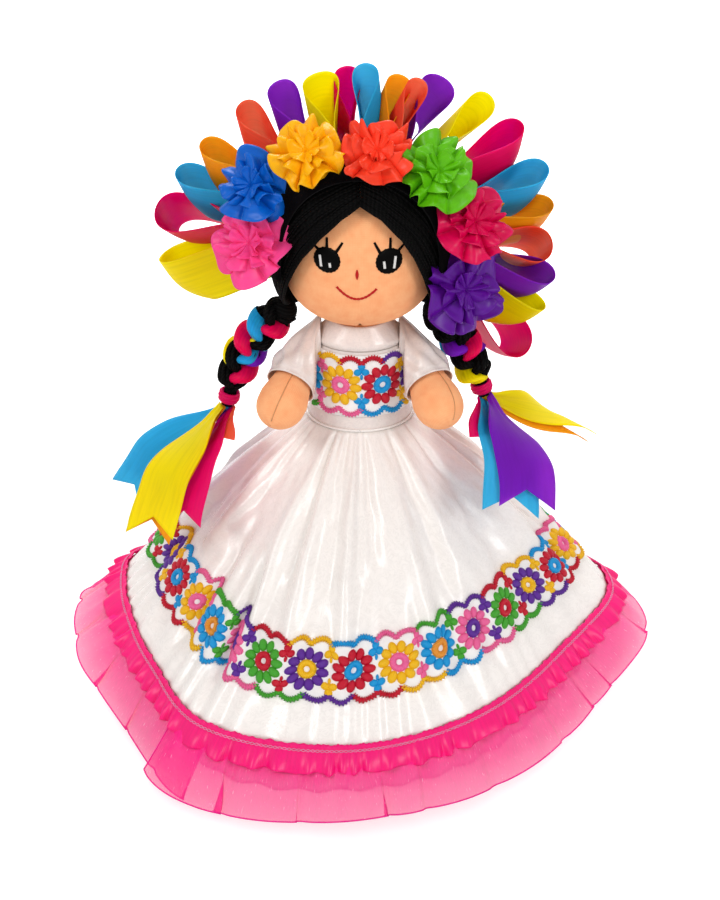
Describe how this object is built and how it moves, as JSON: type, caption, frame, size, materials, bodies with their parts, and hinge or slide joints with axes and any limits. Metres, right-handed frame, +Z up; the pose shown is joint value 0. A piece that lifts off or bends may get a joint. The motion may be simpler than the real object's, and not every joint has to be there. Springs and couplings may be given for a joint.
{
  "type": "cloth doll",
  "caption": "Stuffed cloth doll in a wide gathered dress with embroidered bands and an organza ruffle, yarn braids with ribbon tails, and a crown of ribbon loops and rosettes.",
  "frame": {"origin": "on the floor, at the middle of the hem's outline", "axes": "+Z up; the doll faces -Y; +X is to the doll's left, along the wider way of the hem"},
  "size_m": [0.4306, 0.3367, 0.4048],
  "materials": {
    "skin_cotton": "plain-woven cotton over stuffing",
    "dress_satin": "satin with a woven self pattern",
    "trim_cloth": "white cloth with coloured embroidery",
    "pink_organza": "sheer organza",
    "pink_satin": "gathered satin",
    "white_tulle": "stiff net",
    "black_yarn": "combed yarn",
    "black_felt": "felt",
    "yellow_ribbon": "satin ribbon",
    "crimson_ribbon": "satin ribbon",
    "sky_ribbon": "satin ribbon",
    "orange_ribbon": "satin ribbon",
    "coral_ribbon": "satin ribbon",
    "purple_ribbon": "satin ribbon",
    "gold_ribbon": "satin ribbon",
    "blue_ribbon": "satin ribbon",
    "pink_ribbon": "satin ribbon",
    "green_ribbon": "satin ribbon",
    "magenta_ribbon": "satin ribbon"
  },
  "bodies": {
    "body": {"torso": "skin_cotton", "bodice": "dress_satin", "bodice_trim": "trim_cloth", "skirt": "dress_satin", "skirt_trim": "trim_cloth", "ruffle_organza": "pink_organza", "ruffle_satin": "pink_satin", "petticoat": "white_tulle"},
    "head": {"head": "skin_cotton", "hair_cap": "black_yarn", "crown_band": "black_felt", "ribbon_loop_01": "yellow_ribbon", "ribbon_loop_02": "crimson_ribbon", "ribbon_loop_03": "sky_ribbon", "ribbon_loop_04": "orange_ribbon", "ribbon_loop_05": "coral_ribbon", "ribbon_loop_06": "purple_ribbon", "ribbon_loop_07": "yellow_ribbon", "ribbon_loop_08": "crimson_ribbon", "ribbon_loop_09": "sky_ribbon", "ribbon_loop_10": "orange_ribbon", "ribbon_loop_11": "coral_ribbon", "ribbon_loop_12": "purple_ribbon", "ribbon_loop_13": "yellow_ribbon", "ribbon_loop_14": "crimson_ribbon", "ribbon_loop_15": "sky_ribbon", "ribbon_loop_16": "orange_ribbon", "ribbon_loop_17": "coral_ribbon", "ribbon_loop_18": "purple_ribbon", "ribbon_loop_19": "yellow_ribbon", "ribbon_loop_20": "crimson_ribbon", "rosette_pink": "pink_ribbon", "rosette_blue": "blue_ribbon", "rosette_gold": "gold_ribbon", "rosette_coral": "coral_ribbon", "rosette_green": "green_ribbon", "rosette_magenta": "magenta_ribbon", "rosette_purple": "purple_ribbon"},
    "right_arm": {"right_arm": "skin_cotton", "right_sleeve": "dress_satin"},
    "right_leg": {"right_leg": "skin_cotton"},
    "right_braid": {"right_braid": "black_yarn", "right_braid_tie": "magenta_ribbon", "right_tail_coral": "coral_ribbon", "right_tail_crimson": "crimson_ribbon", "right_tail_purple": "purple_ribbon", "right_tail_orange": "orange_ribbon", "right_tail_yellow": "yellow_ribbon", "right_tail_sky": "sky_ribbon"},
    "left_arm": {"left_arm": "skin_cotton", "left_sleeve": "dress_satin"},
    "left_leg": {"left_leg": "skin_cotton"},
    "left_braid": {"left_braid": "black_yarn", "left_braid_tie": "magenta_ribbon", "left_tail_crimson": "crimson_ribbon", "left_tail_sky": "sky_ribbon", "left_tail_orange": "orange_ribbon", "left_tail_yellow": "yellow_ribbon", "left_tail_purple": "purple_ribbon"}
  },
  "joints": [
    {"name": "head_turn", "type": "hinge", "parent": "body", "child": "head", "pos_m": [0, 0.053, 0.243], "axis": [0, 0, 1], "range_deg": [-8, 8], "stiffness_Nm_per_rad": 0.05},
    {"name": "right_shoulder", "type": "hinge", "parent": "body", "child": "right_arm", "pos_m": [-0.0305, 0.053, 0.223], "axis": [-1, 0, 0], "range_deg": [-16, 32], "stiffness_Nm_per_rad": 0.08},
    {"name": "left_shoulder", "type": "hinge", "parent": "body", "child": "left_arm", "pos_m": [0.0305, 0.053, 0.223], "axis": [-1, 0, 0], "range_deg": [-16, 32], "stiffness_Nm_per_rad": 0.08},
    {"name": "right_braid_swing", "type": "hinge", "parent": "head", "child": "right_braid", "pos_m": [-0.049, 0.054, 0.2465], "axis": [0, 1, 0], "range_deg": [0, 20]},
    {"name": "left_braid_swing", "type": "hinge", "parent": "head", "child": "left_braid", "pos_m": [0.049, 0.054, 0.2465], "axis": [0, -1, 0], "range_deg": [0, 15]},
    {"name": "right_hip", "type": "hinge", "parent": "body", "child": "right_leg", "pos_m": [-0.017, 0.053, 0.112], "axis": [-1, 0, 0], "range_deg": [-25, 40]},
    {"name": "left_hip", "type": "hinge", "parent": "body", "child": "left_leg", "pos_m": [0.017, 0.053, 0.112], "axis": [-1, 0, 0], "range_deg": [-25, 40]}
  ]
}
